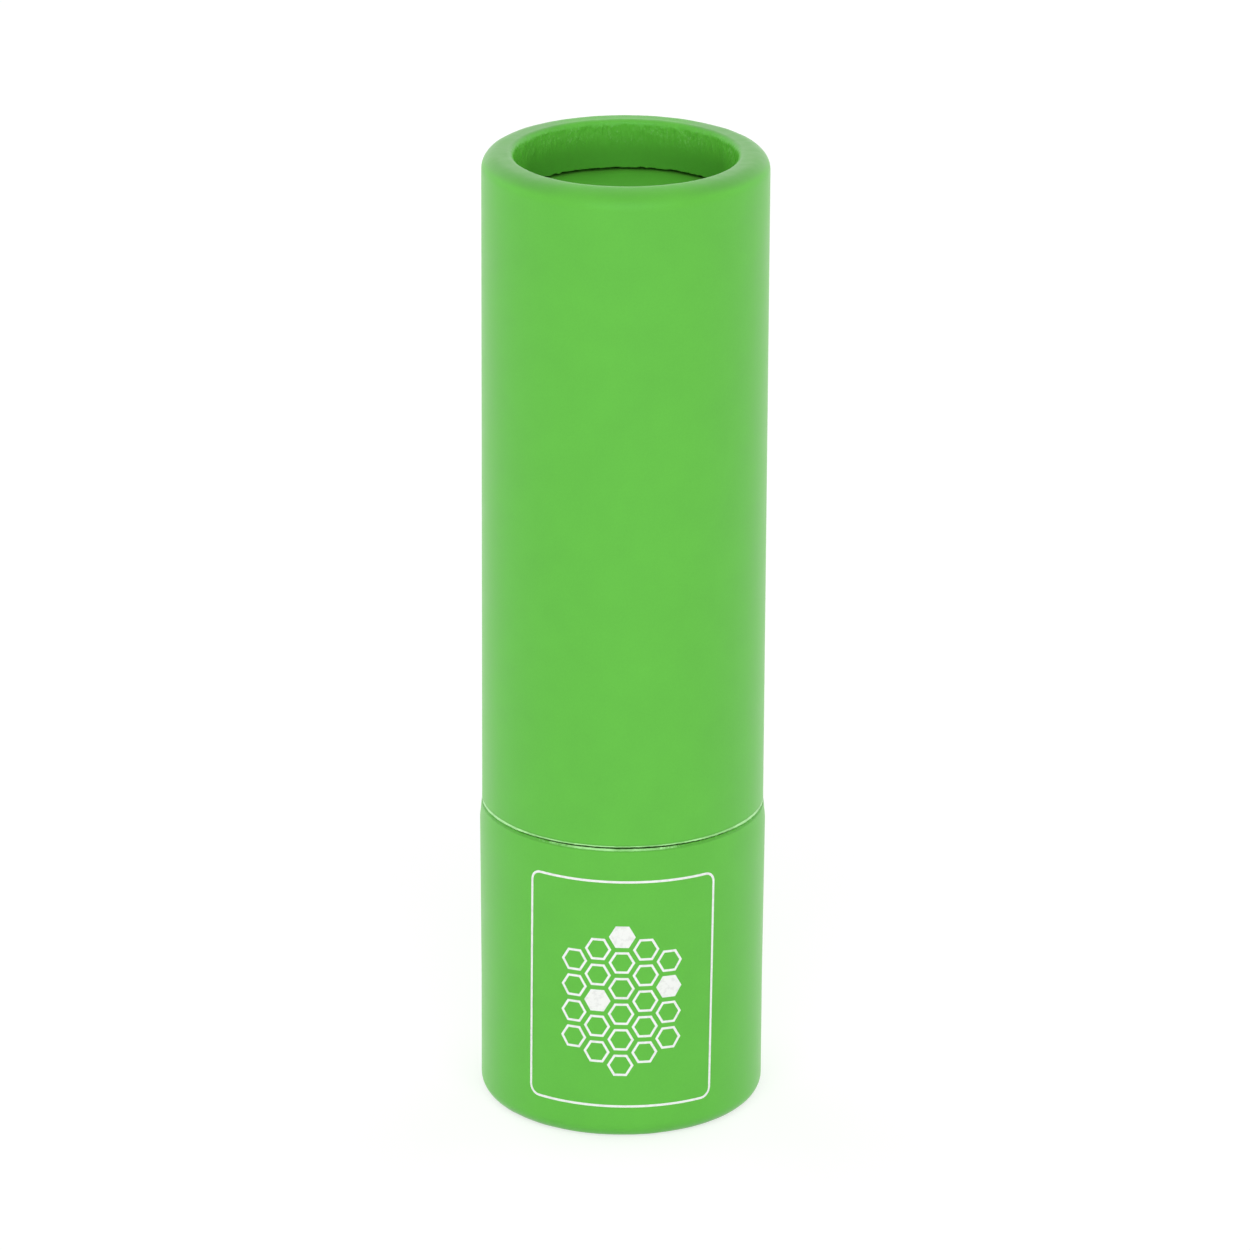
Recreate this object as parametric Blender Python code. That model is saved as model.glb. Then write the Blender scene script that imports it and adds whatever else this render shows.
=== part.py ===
"""Twist-up lip balm stick in a wrapped paperboard tube.

A pull-off cap and a turning base, both wound board tubes with a folded rim, stand round a moulded
twist mechanism: a fork fixed in the base, a spiral sleeve in the neck shell, and a carrier cup
whose two lugs pass through the fork's slots into the spiral's grooves.
Units are metres, +Z is up, and the origin is the centre of the foot that the stick stands on.
"""

import math

import bmesh
import bpy
from mathutils import Matrix, Vector

MM = 0.001

# The closed stick
STICK_DIAMETER = 20.0 * MM
STICK_LENGTH = 69.6 * MM
BASE_HEIGHT = 22.0 * MM
SEAM_GAP = 0.2 * MM
CAP_INSET = 0.06 * MM

# Gaps between bonded pieces, between seated pieces, and between pieces that run in each other
BOND = 0.1 * MM
SEAT = 0.25 * MM
RUNNING = 0.15 * MM

# Paper and board, and the rim where both fold inwards
WRAP = 0.2 * MM
BOARD = 0.75 * MM
LINING = 0.15 * MM
FOLD_SLIT = 0.1 * MM
RIM_DEPTH = 3.4 * MM
RIM_LAND = 0.5 * MM
TOP_RIM_ROUND = 1.15 * MM
FOOT_RIM_ROUND = 1.15 * MM
DISC = 0.9 * MM
FACING = 0.2 * MM
LINING_INSET = 0.25 * MM

# Moulded sleeve in the cap, with the grip ribs near its mouth
CAP_SLEEVE = 0.45 * MM
CAP_SLEEVE_INSET = 0.5 * MM
GRIP_RIBS = 8
GRIP_RIB_WIDTH = 0.7 * MM
GRIP_RIB_HEIGHT = 8.0 * MM
GRIP_RIB_INSET = 0.5 * MM
GRIP_RIB_CLEARANCE = 0.06 * MM

# Moulded insert in the base, with the socket that holds the fork's splined tail
INSERT = 0.45 * MM
INSERT_FLOOR = 0.9 * MM
INSERT_INSET = 0.35 * MM
SOCKET_WALL = 0.6 * MM
SOCKET_HEIGHT = 2.0 * MM

# Neck shell, and the spiral sleeve inside it
SHELL = 0.5 * MM
SHELL_LIP = 0.5 * MM
SHELL_ROUND = 0.35 * MM
SPIRAL = 0.7 * MM
GROOVE_DEPTH = 0.45 * MM
GROOVE_END_WALL = 0.8 * MM

# Fork: a slotted tube with a flange under the spiral, a snap collar over it and a splined tail
FORK = 0.5 * MM
FLANGE = 0.6 * MM
COLLAR_HEIGHT = 0.9 * MM
COLLAR_REACH = 0.35 * MM
FORK_SPLINES = 8
SPLINE_WIDTH = 1.2 * MM
SPLINE_HEIGHT = 0.35 * MM

# Carrier cup and balm
CUP = 0.4 * MM
CUP_FLOOR = 0.7 * MM
CUP_DEPTH = 9.0 * MM
CUP_VENT_DIAMETER = 2.4 * MM
CUP_RIBS = 4
CUP_RIB_WIDTH = 0.5 * MM
CUP_RIB_PROUD = 0.4 * MM
CUP_RIB_HEIGHT = 5.0 * MM
LUG_DIAMETER = 1.6 * MM
LUG_CLEARANCE = 0.2 * MM
BALM_INSET = 0.7 * MM
BALM_DOME = 2.2 * MM
BALM_EDGE_ROUND = 1.2 * MM

# Motion
TRAVEL = 24.0 * MM
TURN_DEG = 450.0

# How finely round forms are cut, and how far a cutter runs past what it cuts
SEGMENTS = 40
ROUND_STEPS = 4
LUG_SIDES = 16
OVERRUN = 0.4 * MM
MERGE_SHARE = 1e-6
SHARP_DEG = 35

FULL_TURN = 2 * math.pi
FACET_ANGLE = FULL_TURN / SEGMENTS
HALF_FACET = FACET_ANGLE / 2

# Radii of the paper tubes, worked out from the outside in
BASE_RADIUS = STICK_DIAMETER / 2
CAP_RADIUS = BASE_RADIUS - CAP_INSET
RIM_WIDTH = 2 * (WRAP + BOND + BOARD) + FOLD_SLIT
BASE_BORE = BASE_RADIUS - WRAP - BOND - BOARD
CAP_BORE = CAP_RADIUS - WRAP - BOND - BOARD

# Radii of the mechanism
INSERT_RADIUS = BASE_BORE - BOND - LINING - BOND
INSERT_BORE = INSERT_RADIUS - INSERT
CAP_SLEEVE_RADIUS = CAP_BORE - BOND - LINING - BOND
CAP_SLEEVE_BORE = CAP_SLEEVE_RADIUS - CAP_SLEEVE
SHELL_RADIUS = min(INSERT_BORE, CAP_SLEEVE_BORE) - RUNNING
SHELL_BORE = SHELL_RADIUS - SHELL
SPIRAL_RADIUS = SHELL_BORE - BOND
SPIRAL_BORE = SPIRAL_RADIUS - SPIRAL
GROOVE_RADIUS = SPIRAL_BORE + GROOVE_DEPTH
FORK_RADIUS = SPIRAL_BORE - RUNNING
FORK_BORE = FORK_RADIUS - FORK
CUP_RADIUS = FORK_BORE - RUNNING
CUP_BORE = CUP_RADIUS - CUP
BALM_RADIUS = CUP_BORE - BOND
LIP_BORE = CUP_RADIUS + RUNNING
SOCKET_BORE = FORK_RADIUS + SPLINE_HEIGHT + BOND
SOCKET_RADIUS = SOCKET_BORE + SOCKET_WALL
FLANGE_RADIUS = SHELL_RADIUS
COLLAR_RADIUS = FORK_RADIUS + COLLAR_REACH
LUG_REACH = math.sqrt((GROOVE_RADIUS - RUNNING) ** 2 - (LUG_DIAMETER / 2) ** 2)

# The grooves: how steeply they climb, how wide they are, and how far they run on past a lug
LEAD = TRAVEL * 360 / TURN_DEG
LUG_PASSAGE = LUG_DIAMETER + 2 * LUG_CLEARANCE
GROOVE_WIDTH = LUG_PASSAGE / math.cos(math.atan2(LEAD, FULL_TURN * SPIRAL_BORE))
RUN_ON_FACETS = math.ceil(math.asin(LUG_PASSAGE / 2 / SPIRAL_BORE) / FACET_ANGLE)
RISE_PER_FACET = LEAD / SEGMENTS
GROOVE_END = RUN_ON_FACETS * RISE_PER_FACET + GROOVE_WIDTH / 2 + GROOVE_END_WALL

# Heights of the base, from the foot up
FOOT_FOLD_END = RIM_DEPTH
FOOT_FACING_BOTTOM = FOOT_FOLD_END + SEAT
FOOT_DISC_BOTTOM = FOOT_FACING_BOTTOM + FACING + BOND
INSERT_BOTTOM = FOOT_DISC_BOTTOM + DISC + BOND
INSERT_FLOOR_TOP = INSERT_BOTTOM + INSERT_FLOOR
INSERT_TOP = BASE_HEIGHT - INSERT_INSET
FORK_BOTTOM = INSERT_FLOOR_TOP + BOND
FLANGE_BOTTOM = INSERT_FLOOR_TOP + SOCKET_HEIGHT + BOND
FLANGE_TOP = FLANGE_BOTTOM + FLANGE
SHELL_BOTTOM = FLANGE_TOP + RUNNING

# Heights of the neck and of what moves in it
LUG_HEIGHT = SHELL_BOTTOM + GROOVE_END
SPIRAL_TOP = LUG_HEIGHT + TRAVEL + GROOVE_END
COLLAR_BOTTOM = SPIRAL_TOP + RUNNING
FORK_TOP = COLLAR_BOTTOM + COLLAR_HEIGHT
LIP_BOTTOM = FORK_TOP + SEAT
SHELL_TOP = LIP_BOTTOM + SHELL_LIP
CUP_BOTTOM = LUG_HEIGHT - LUG_PASSAGE / 2
CUP_TOP = CUP_BOTTOM + CUP_DEPTH
BALM_BOTTOM = CUP_BOTTOM + CUP_FLOOR + BOND
BALM_TOP = SHELL_TOP - BALM_INSET

# Heights of the cap
CAP_BOTTOM = BASE_HEIGHT + SEAM_GAP
TOP_FOLD_END = STICK_LENGTH - RIM_DEPTH
TOP_FACING_TOP = TOP_FOLD_END - SEAT
TOP_DISC_TOP = TOP_FACING_TOP - FACING - BOND
TOP_DISC_BOTTOM = TOP_DISC_TOP - DISC
CAP_SLEEVE_TOP = TOP_DISC_BOTTOM - BOND
CAP_SLEEVE_BOTTOM = CAP_BOTTOM + CAP_SLEEVE_INSET

# Finishes: a colour in linear red, green and blue, then a roughness
GREEN_PAPER = ((0.145, 0.552, 0.080), 0.55)
GREY_BOARD = ((0.42, 0.36, 0.27), 0.9)
WHITE_PAPER = ((0.80, 0.79, 0.75), 0.8)
WHITE_PLASTIC = ((0.78, 0.78, 0.76), 0.35)
NATURAL_PLASTIC = ((0.70, 0.69, 0.64), 0.4)
BALM_WAX = ((0.86, 0.78, 0.55), 0.35)


def clear_scene():
    for obj in list(bpy.data.objects):
        bpy.data.objects.remove(obj, do_unlink=True)


def material(name, finish):
    colour, roughness = finish
    made = bpy.data.materials.new(name)
    made.use_nodes = True
    shader = made.node_tree.nodes["Principled BSDF"]
    shader.inputs["Base Color"].default_value = (*colour, 1.0)
    shader.inputs["Roughness"].default_value = roughness
    shader.inputs["Metallic"].default_value = 0.0
    return made


def body(name):
    """An empty that stands for one rigid body, on the stick's axis."""
    empty = bpy.data.objects.new(name, None)
    bpy.context.scene.collection.objects.link(empty)
    return empty


def add_object(name, bm, finish=None, parent=None):
    mesh = bpy.data.meshes.new(name)
    bm.to_mesh(mesh)
    bm.free()
    mesh.shade_smooth()
    mesh.set_sharp_from_angle(angle=math.radians(SHARP_DEG))
    if finish:
        mesh.materials.append(material(name, finish))
    obj = bpy.data.objects.new(name, mesh)
    bpy.context.scene.collection.objects.link(obj)
    obj.parent = parent
    return obj


def outline_verts(bm, profile, angle):
    """The (radius, height) points of an outline, in the half plane at an angle round Z."""
    return [bm.verts.new((r * math.cos(angle), r * math.sin(angle), z)) for r, z in profile]


def turned(name, profile, finish, parent, solid=False, phase=0.0):
    """A piece turned about Z. A solid one has an open outline that starts and ends on the axis."""
    bm = bmesh.new()
    verts = outline_verts(bm, profile, phase)
    edges = [bm.edges.new(pair) for pair in zip(verts, verts[1:])]
    if not solid:
        edges.append(bm.edges.new((verts[-1], verts[0])))
    bmesh.ops.spin(
        bm,
        geom=verts + edges,
        cent=(0, 0, 0),
        axis=(0, 0, 1),
        angle=FULL_TURN,
        steps=SEGMENTS,
        use_merge=True,
    )
    bmesh.ops.remove_doubles(bm, verts=bm.verts, dist=STICK_DIAMETER * MERGE_SHARE)
    bmesh.ops.recalc_face_normals(bm, faces=bm.faces)
    return add_object(name, bm, finish, parent)


def tube_profile(outer, inner, bottom, top):
    return [(outer, top), (outer, bottom), (inner, bottom), (inner, top)]


def disc_profile(radius, bottom, top):
    return [(0, top), (radius, top), (radius, bottom), (0, bottom)]


def arc(centre, radius, start_deg, end_deg):
    """Points of a round corner in the (radius, height) plane."""
    points = []
    for step in range(ROUND_STEPS + 1):
        angle = math.radians(start_deg + (end_deg - start_deg) * step / ROUND_STEPS)
        points.append((centre[0] + radius * math.cos(angle), centre[1] + radius * math.sin(angle)))
    return points


def block_mesh(size, centre, turn=0.0):
    """A box of the given size about a centre, then turned about Z."""
    bm = bmesh.new()
    place = Matrix.Rotation(turn, 4, "Z") @ Matrix.Translation(Vector(centre)) @ Matrix.Diagonal((*size, 1))
    bmesh.ops.create_cube(bm, size=1, matrix=place)
    return bm


def combine(obj, name, bm, operation):
    """Cuts a mesh from the object, or joins it on, and applies the result."""
    helper = add_object(name, bm)
    helper.hide_render = True
    helper.display_type = "WIRE"
    modifier = obj.modifiers.new(name, "BOOLEAN")
    modifier.operation = operation
    modifier.solver = "EXACT"
    modifier.object = helper
    bpy.context.view_layer.update()
    graph = bpy.context.evaluated_depsgraph_get()
    finished = bpy.data.meshes.new_from_object(obj.evaluated_get(graph))
    finished.name = obj.name
    obj.modifiers.clear()
    obj.data = finished
    bpy.data.objects.remove(helper, do_unlink=True)


def cut(obj, name, bm):
    combine(obj, name, bm, "DIFFERENCE")


def join(obj, name, bm):
    combine(obj, name, bm, "UNION")


def spaced(count, start=0.0):
    return [start + FULL_TURN * index / count for index in range(count)]


def rim_side(outer, inner, edge, fold_end, open_end, outer_round, inner_round):
    """One face of a folded rim: from the tube's open end, over its edge, to the end of the fold."""
    points = [(outer, open_end)]
    points += arc((outer - outer_round, edge - outer_round), outer_round, 0, 90)
    points += arc((inner + inner_round, edge - inner_round), inner_round, 90, 180)
    points.append((inner, fold_end))
    return points


def wrap_profile(radius, edge, open_end, outer_round):
    """The printed paper: a thin skin over the whole rim."""
    fold_end = edge - RIM_DEPTH
    opening = radius - RIM_WIDTH
    inner_round = RIM_WIDTH - RIM_LAND - outer_round
    outside = rim_side(radius, opening, edge, fold_end, open_end, outer_round, inner_round)
    inside = rim_side(
        radius - WRAP,
        opening + WRAP,
        edge - WRAP,
        fold_end,
        open_end,
        outer_round - WRAP,
        inner_round - WRAP,
    )
    return outside + inside[::-1]


def board_profile(radius, edge, open_end, outer_round):
    """The board tube: its end is folded back on itself, with a thin slit left between the plies."""
    skin = WRAP + BOND
    outer = radius - skin
    fold_end = edge - RIM_DEPTH
    fold_face = radius - RIM_WIDTH + skin
    inner_round = RIM_WIDTH - RIM_LAND - outer_round
    points = rim_side(
        outer,
        fold_face,
        edge - skin,
        fold_end,
        open_end,
        outer_round - skin,
        inner_round - skin,
    )
    slit_end = edge - skin - BOARD
    points.append((fold_face + BOARD, fold_end))
    points.append((fold_face + BOARD, slit_end))
    points.append((outer - BOARD, slit_end))
    points.append((outer - BOARD, open_end))
    return points


def upside_down(profile):
    """The same outline with its rim at the foot, from heights measured down to an edge at zero."""
    return [(radius, -height) for radius, height in profile]


def disc(name, radius, bottom, height, finish, parent):
    return turned(name, disc_profile(radius, bottom, bottom + height), finish, parent, solid=True)


def build_cap(cap):
    rim = (CAP_RADIUS, STICK_LENGTH, CAP_BOTTOM, TOP_RIM_ROUND)
    turned("cap_wrap", wrap_profile(*rim), GREEN_PAPER, cap)
    turned("cap_board_tube", board_profile(*rim), GREY_BOARD, cap)
    lined_radius = CAP_BORE - BOND
    disc("cap_disc_facing", lined_radius, TOP_FACING_TOP - FACING, FACING, GREEN_PAPER, cap)
    disc("cap_disc", lined_radius, TOP_DISC_BOTTOM, DISC, GREY_BOARD, cap)
    lining = tube_profile(lined_radius, lined_radius - LINING, CAP_BOTTOM + LINING_INSET, CAP_SLEEVE_TOP)
    turned("cap_lining", lining, WHITE_PAPER, cap)
    build_cap_sleeve(cap)


def build_cap_sleeve(cap):
    """The sleeve that rides on the neck. Short ribs inside its mouth give the grip."""
    profile = tube_profile(CAP_SLEEVE_RADIUS, CAP_SLEEVE_BORE, CAP_SLEEVE_BOTTOM, CAP_SLEEVE_TOP)
    sleeve = turned("cap_sleeve", profile, WHITE_PLASTIC, cap)
    inner_face = SHELL_RADIUS + GRIP_RIB_CLEARANCE
    outer_face = CAP_SLEEVE_BORE + CAP_SLEEVE / 2
    size = (outer_face - inner_face, GRIP_RIB_WIDTH, GRIP_RIB_HEIGHT)
    rib_bottom = CAP_SLEEVE_BOTTOM + GRIP_RIB_INSET
    centre = ((inner_face + outer_face) / 2, 0, rib_bottom + GRIP_RIB_HEIGHT / 2)
    for turn in spaced(GRIP_RIBS, HALF_FACET):
        join(sleeve, "grip_rib", block_mesh(size, centre, turn))


def build_base(base):
    rim = (BASE_RADIUS, 0, -BASE_HEIGHT, FOOT_RIM_ROUND)
    turned("base_wrap", upside_down(wrap_profile(*rim)), GREEN_PAPER, base)
    turned("base_board_tube", upside_down(board_profile(*rim)), GREY_BOARD, base)
    lined_radius = BASE_BORE - BOND
    disc("base_disc_facing", lined_radius, FOOT_FACING_BOTTOM, FACING, GREEN_PAPER, base)
    disc("base_disc", lined_radius, FOOT_DISC_BOTTOM, DISC, GREY_BOARD, base)
    lining = tube_profile(lined_radius, lined_radius - LINING, INSERT_BOTTOM, BASE_HEIGHT - LINING_INSET)
    turned("base_lining", lining, WHITE_PAPER, base)
    build_base_insert(base)


def build_base_insert(base):
    """A moulded cup bonded into the base. The splined socket on its floor turns the fork."""
    socket_top = INSERT_FLOOR_TOP + SOCKET_HEIGHT
    profile = [
        (0, INSERT_BOTTOM),
        (INSERT_RADIUS, INSERT_BOTTOM),
        (INSERT_RADIUS, INSERT_TOP),
        (INSERT_BORE, INSERT_TOP),
        (INSERT_BORE, INSERT_FLOOR_TOP),
        (SOCKET_RADIUS, INSERT_FLOOR_TOP),
        (SOCKET_RADIUS, socket_top),
        (FORK_RADIUS + BOND, socket_top),
        (FORK_RADIUS + BOND, INSERT_FLOOR_TOP),
        (0, INSERT_FLOOR_TOP),
    ]
    insert = turned("base_insert", profile, WHITE_PLASTIC, base, solid=True)
    reach = SOCKET_BORE - FORK_BORE
    height = SOCKET_HEIGHT + OVERRUN
    size = (reach, SPLINE_WIDTH + 2 * BOND, height)
    centre = (SOCKET_BORE - reach / 2, 0, INSERT_FLOOR_TOP + height / 2)
    for turn in spaced(FORK_SPLINES):
        cut(insert, "socket_notch", block_mesh(size, centre, turn))


def build_fork(base):
    """The tube that keeps the cup from turning against the base.

    The spiral turns between its flange and its snap collar, which hold the neck down.
    """
    profile = [
        (COLLAR_RADIUS, FORK_TOP),
        (COLLAR_RADIUS, COLLAR_BOTTOM),
        (FORK_RADIUS, COLLAR_BOTTOM),
        (FORK_RADIUS, FLANGE_TOP),
        (FLANGE_RADIUS, FLANGE_TOP),
        (FLANGE_RADIUS, FLANGE_BOTTOM),
        (FORK_RADIUS, FLANGE_BOTTOM),
        (FORK_RADIUS, FORK_BOTTOM),
        (FORK_BORE, FORK_BOTTOM),
        (FORK_BORE, FORK_TOP),
    ]
    fork = turned("fork", profile, NATURAL_PLASTIC, base, phase=HALF_FACET)
    slot_size = (2 * (FORK_RADIUS + OVERRUN), LUG_PASSAGE, TRAVEL + LUG_PASSAGE)
    cut(fork, "slots", block_mesh(slot_size, (0, 0, LUG_HEIGHT + TRAVEL / 2)))
    outer_face = FORK_RADIUS + SPLINE_HEIGHT
    inner_face = FORK_RADIUS - FORK / 2
    spline_top = FLANGE_BOTTOM + FLANGE / 2
    size = (outer_face - inner_face, SPLINE_WIDTH, spline_top - FORK_BOTTOM)
    centre = ((outer_face + inner_face) / 2, 0, (FORK_BOTTOM + spline_top) / 2)
    for turn in spaced(FORK_SPLINES):
        join(fork, "spline", block_mesh(size, centre, turn))


def groove_mesh(start_angle):
    """A square-sectioned helical bar that cuts one groove of the spiral."""
    steps = math.ceil(SEGMENTS * TURN_DEG / 360) + 2 * RUN_ON_FACETS
    bottom = LUG_HEIGHT - RUN_ON_FACETS * RISE_PER_FACET - GROOVE_WIDTH / 2
    section = tube_profile(GROOVE_RADIUS, SPIRAL_BORE - OVERRUN, bottom, bottom + GROOVE_WIDTH)
    bm = bmesh.new()
    end_face = bm.faces.new(outline_verts(bm, section, start_angle - RUN_ON_FACETS * FACET_ANGLE))
    bmesh.ops.spin(
        bm,
        geom=[end_face],
        cent=(0, 0, 0),
        axis=(0, 0, 1),
        dvec=(0, 0, RISE_PER_FACET),
        angle=FACET_ANGLE * steps,
        steps=steps,
    )
    bmesh.ops.recalc_face_normals(bm, faces=bm.faces)
    return bm


def build_neck(neck):
    """The shell that the hand turns against the base, and the spiral fixed in it."""
    profile = [(SHELL_RADIUS, SHELL_BOTTOM)]
    profile += arc((SHELL_RADIUS - SHELL_ROUND, SHELL_TOP - SHELL_ROUND), SHELL_ROUND, 0, 90)
    profile.append((LIP_BORE, SHELL_TOP))
    profile.append((LIP_BORE, LIP_BOTTOM))
    profile.append((SHELL_BORE, LIP_BOTTOM))
    profile.append((SHELL_BORE, SHELL_BOTTOM))
    turned("neck_shell", profile, WHITE_PLASTIC, neck)
    sleeve = tube_profile(SPIRAL_RADIUS, SPIRAL_BORE, SHELL_BOTTOM, SPIRAL_TOP)
    spiral = turned("spiral_sleeve", sleeve, NATURAL_PLASTIC, neck)
    for start_angle in spaced(2):
        cut(spiral, "groove", groove_mesh(start_angle))


def lug_mesh(turn):
    """A round pin from inside the cup's wall out into the groove."""
    inner_end = CUP_BORE + CUP / 2
    place = (
        Matrix.Rotation(turn, 4, "Z")
        @ Matrix.Translation(Vector(((inner_end + LUG_REACH) / 2, 0, LUG_HEIGHT)))
        @ Matrix.Rotation(FULL_TURN / 4, 4, "Y")
    )
    bm = bmesh.new()
    bmesh.ops.create_cone(
        bm,
        cap_ends=True,
        segments=LUG_SIDES,
        radius1=LUG_DIAMETER / 2,
        radius2=LUG_DIAMETER / 2,
        depth=LUG_REACH - inner_end,
        matrix=place,
    )
    return bm


def build_carrier(carrier):
    """The cup that grips the foot of the balm, and the balm itself."""
    profile = [
        (CUP_RADIUS, CUP_TOP),
        (CUP_RADIUS, CUP_BOTTOM),
        (CUP_VENT_DIAMETER / 2, CUP_BOTTOM),
        (CUP_VENT_DIAMETER / 2, CUP_BOTTOM + CUP_FLOOR),
        (CUP_BORE, CUP_BOTTOM + CUP_FLOOR),
        (CUP_BORE, CUP_TOP),
    ]
    cup = turned("carrier_cup", profile, NATURAL_PLASTIC, carrier)
    for turn in spaced(2):
        join(cup, "lug", lug_mesh(turn))
    balm = turned("balm", balm_profile(), BALM_WAX, carrier, solid=True)
    rib_bottom = CUP_BOTTOM + CUP_FLOOR / 2
    inner_face = CUP_BORE - CUP_RIB_PROUD
    outer_face = CUP_BORE + CUP / 2
    rib_size = (outer_face - inner_face, CUP_RIB_WIDTH, CUP_RIB_HEIGHT)
    rib_centre = ((inner_face + outer_face) / 2, 0, rib_bottom + CUP_RIB_HEIGHT / 2)
    notch_size = (rib_size[0] + BOND, CUP_RIB_WIDTH + 2 * BOND, CUP_RIB_HEIGHT + BOND)
    notch_centre = (rib_centre[0] - BOND / 2, 0, rib_bottom + notch_size[2] / 2)
    for turn in spaced(CUP_RIBS, math.pi / CUP_RIBS + HALF_FACET):
        join(cup, "cup_rib", block_mesh(rib_size, rib_centre, turn))
        cut(balm, "rib_notch", block_mesh(notch_size, notch_centre, turn))


def balm_profile():
    """Half the outline of the stick of balm: a straight side, a soft edge and a low dome."""
    shoulder = BALM_TOP - BALM_DOME
    edge = arc((BALM_RADIUS - BALM_EDGE_ROUND, shoulder), BALM_EDGE_ROUND, 0, 55)
    reach, start = edge[-1]
    dome = []
    for step in range(1, ROUND_STEPS + 1):
        share = step / ROUND_STEPS
        dome.append((reach * (1 - share), start + (BALM_TOP - start) * math.sin(share * FULL_TURN / 4)))
    return [(0, BALM_BOTTOM), (BALM_RADIUS, BALM_BOTTOM)] + edge + dome


def main():
    clear_scene()
    base = body("base")
    build_base(base)
    build_fork(base)
    build_neck(body("neck"))
    build_carrier(body("carrier"))
    build_cap(body("cap"))


main()
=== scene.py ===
import math
from contextlib import contextmanager

import bpy
from bpy.props import FloatProperty, FloatVectorProperty, IntProperty, PointerProperty
from mathutils import Matrix, Vector


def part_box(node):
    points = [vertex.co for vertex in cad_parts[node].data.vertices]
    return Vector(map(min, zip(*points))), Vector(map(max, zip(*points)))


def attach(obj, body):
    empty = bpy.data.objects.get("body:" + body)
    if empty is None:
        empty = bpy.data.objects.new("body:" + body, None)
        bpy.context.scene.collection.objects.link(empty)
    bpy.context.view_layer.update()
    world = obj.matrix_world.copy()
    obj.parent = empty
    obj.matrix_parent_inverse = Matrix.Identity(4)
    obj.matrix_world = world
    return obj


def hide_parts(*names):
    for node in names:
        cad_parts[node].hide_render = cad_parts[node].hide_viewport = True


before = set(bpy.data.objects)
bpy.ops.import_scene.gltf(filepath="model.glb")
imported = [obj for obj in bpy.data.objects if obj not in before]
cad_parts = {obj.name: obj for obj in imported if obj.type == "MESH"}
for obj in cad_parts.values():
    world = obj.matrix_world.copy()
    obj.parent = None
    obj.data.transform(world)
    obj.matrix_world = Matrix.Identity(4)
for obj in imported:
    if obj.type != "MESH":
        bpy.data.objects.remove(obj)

bl_info = {
    "name": "Lip Balm Stick",
    "version": (1, 0, 0),
    "blender": (4, 5, 0),
    "location": "View3D > Sidebar > Lip Balm",
    "description": "Models the paper, board, plastic and wax of a twist-up lip balm stick",
    "category": "Object",
}

MM = 0.001
FULL_TURN = 2 * math.pi
UPRIGHT = (FULL_TURN / 4, 0, 0)
MERGE_DISTANCE = 0.0005 * MM
OVERRUN = 0.4 * MM

# How many steps go round a paper piece, a plain turned piece, a round corner and the paper's rim
PAPER_STEPS = 900
TURNED_STEPS = 192
CORNER_STEPS = 5
RIM_STEPS = 12
SHARP_ANGLE = math.radians(40)

# Half of one of the CAD tubes' 40 facets, and the turn that raises the balm
HALF_FACET = FULL_TURN / 80
TWIST = math.radians(450)

# Sizes of the moulded pieces that have to fit each other
MOULDED_WALL = 0.45 * MM
RUNNING_GAP = 0.15 * MM
SPLINES = 8
SPLINE_PROUD = 0.35 * MM
SPLINE_WIDTH = 1.2 * MM
SOCKET_HEIGHT = 2.0 * MM
CUP_WALL = 0.4 * MM
CUP_FLOOR = 0.7 * MM
RIB_PROUD = 0.4 * MM
RIB_WIDTH = 0.5 * MM
RIB_HEIGHT = 5.0 * MM


# Sizes and colours that a user would change


def length(name, description, default_mm):
    return FloatProperty(
        name=name, description=description, default=default_mm * MM, min=0, unit="LENGTH", precision=5
    )


def angle(name, description, default):
    return FloatProperty(name=name, description=description, default=default, subtype="ANGLE")


def count(name, description, default):
    return IntProperty(name=name, description=description, default=default, min=1, subtype="UNSIGNED")


def colour(name, description, default):
    return FloatVectorProperty(
        name=name, description=description, default=default, subtype="COLOR", size=3, min=0, max=1
    )


class PaperSettings(bpy.types.PropertyGroup):
    thickness: length("Paper thickness", "Thickness of the printed outer paper", 0.20)
    rim_depth: length("Rim depth", "How far the folded rim reaches into the tube", 3.40)
    rim_width: length("Rim width", "Width of the folded rim, from the outside to the opening", 2.20)
    top_land: length("Top land", "Width of the flat crest between the top rim's two rounds", 0.65)
    foot_land: length("Foot land", "Width of the flat crest between the foot rim's two rounds", 0.50)
    top_round: length("Top round", "Outer radius of the top rim", 1.15)
    foot_round: length("Foot round", "Outer radius of the foot rim", 1.15)
    lip_dip: length("Lip dip", "How much lower the top rim's outer part lies at the front", 0.20)
    pucker: length("Pucker depth", "Height of the small folds inside the rim", 0.11)
    edge_reach: length("Cut edge reach", "How far each cut edge stands into the seam", 0.05)
    sink: length("Seam sink", "How much lower the seam lies at the sides and back", 0.01)
    closing: length("Seam closing", "How much narrower the seam is at the sides and back", 0.04)
    cap_bevel: length("Cap bevel", "Bevel of the cap's cut edge", 0.05)
    base_bevel: length("Base bevel", "Bevel of the base's cut edge", 0.14)
    flare: length("Base flare", "How far the base's mouth stands out past its foot", 0.10)
    tuck: length("Mouth tuck", "How far the base's mouth is drawn in at the sides and back", 0.14)
    green: colour("Printed green", "Colour printed on the outer paper", (0.129, 0.508, 0.052))
    core: colour("Paper core", "Colour of the paper where it is cut", (0.47, 0.90, 0.37))


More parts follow.
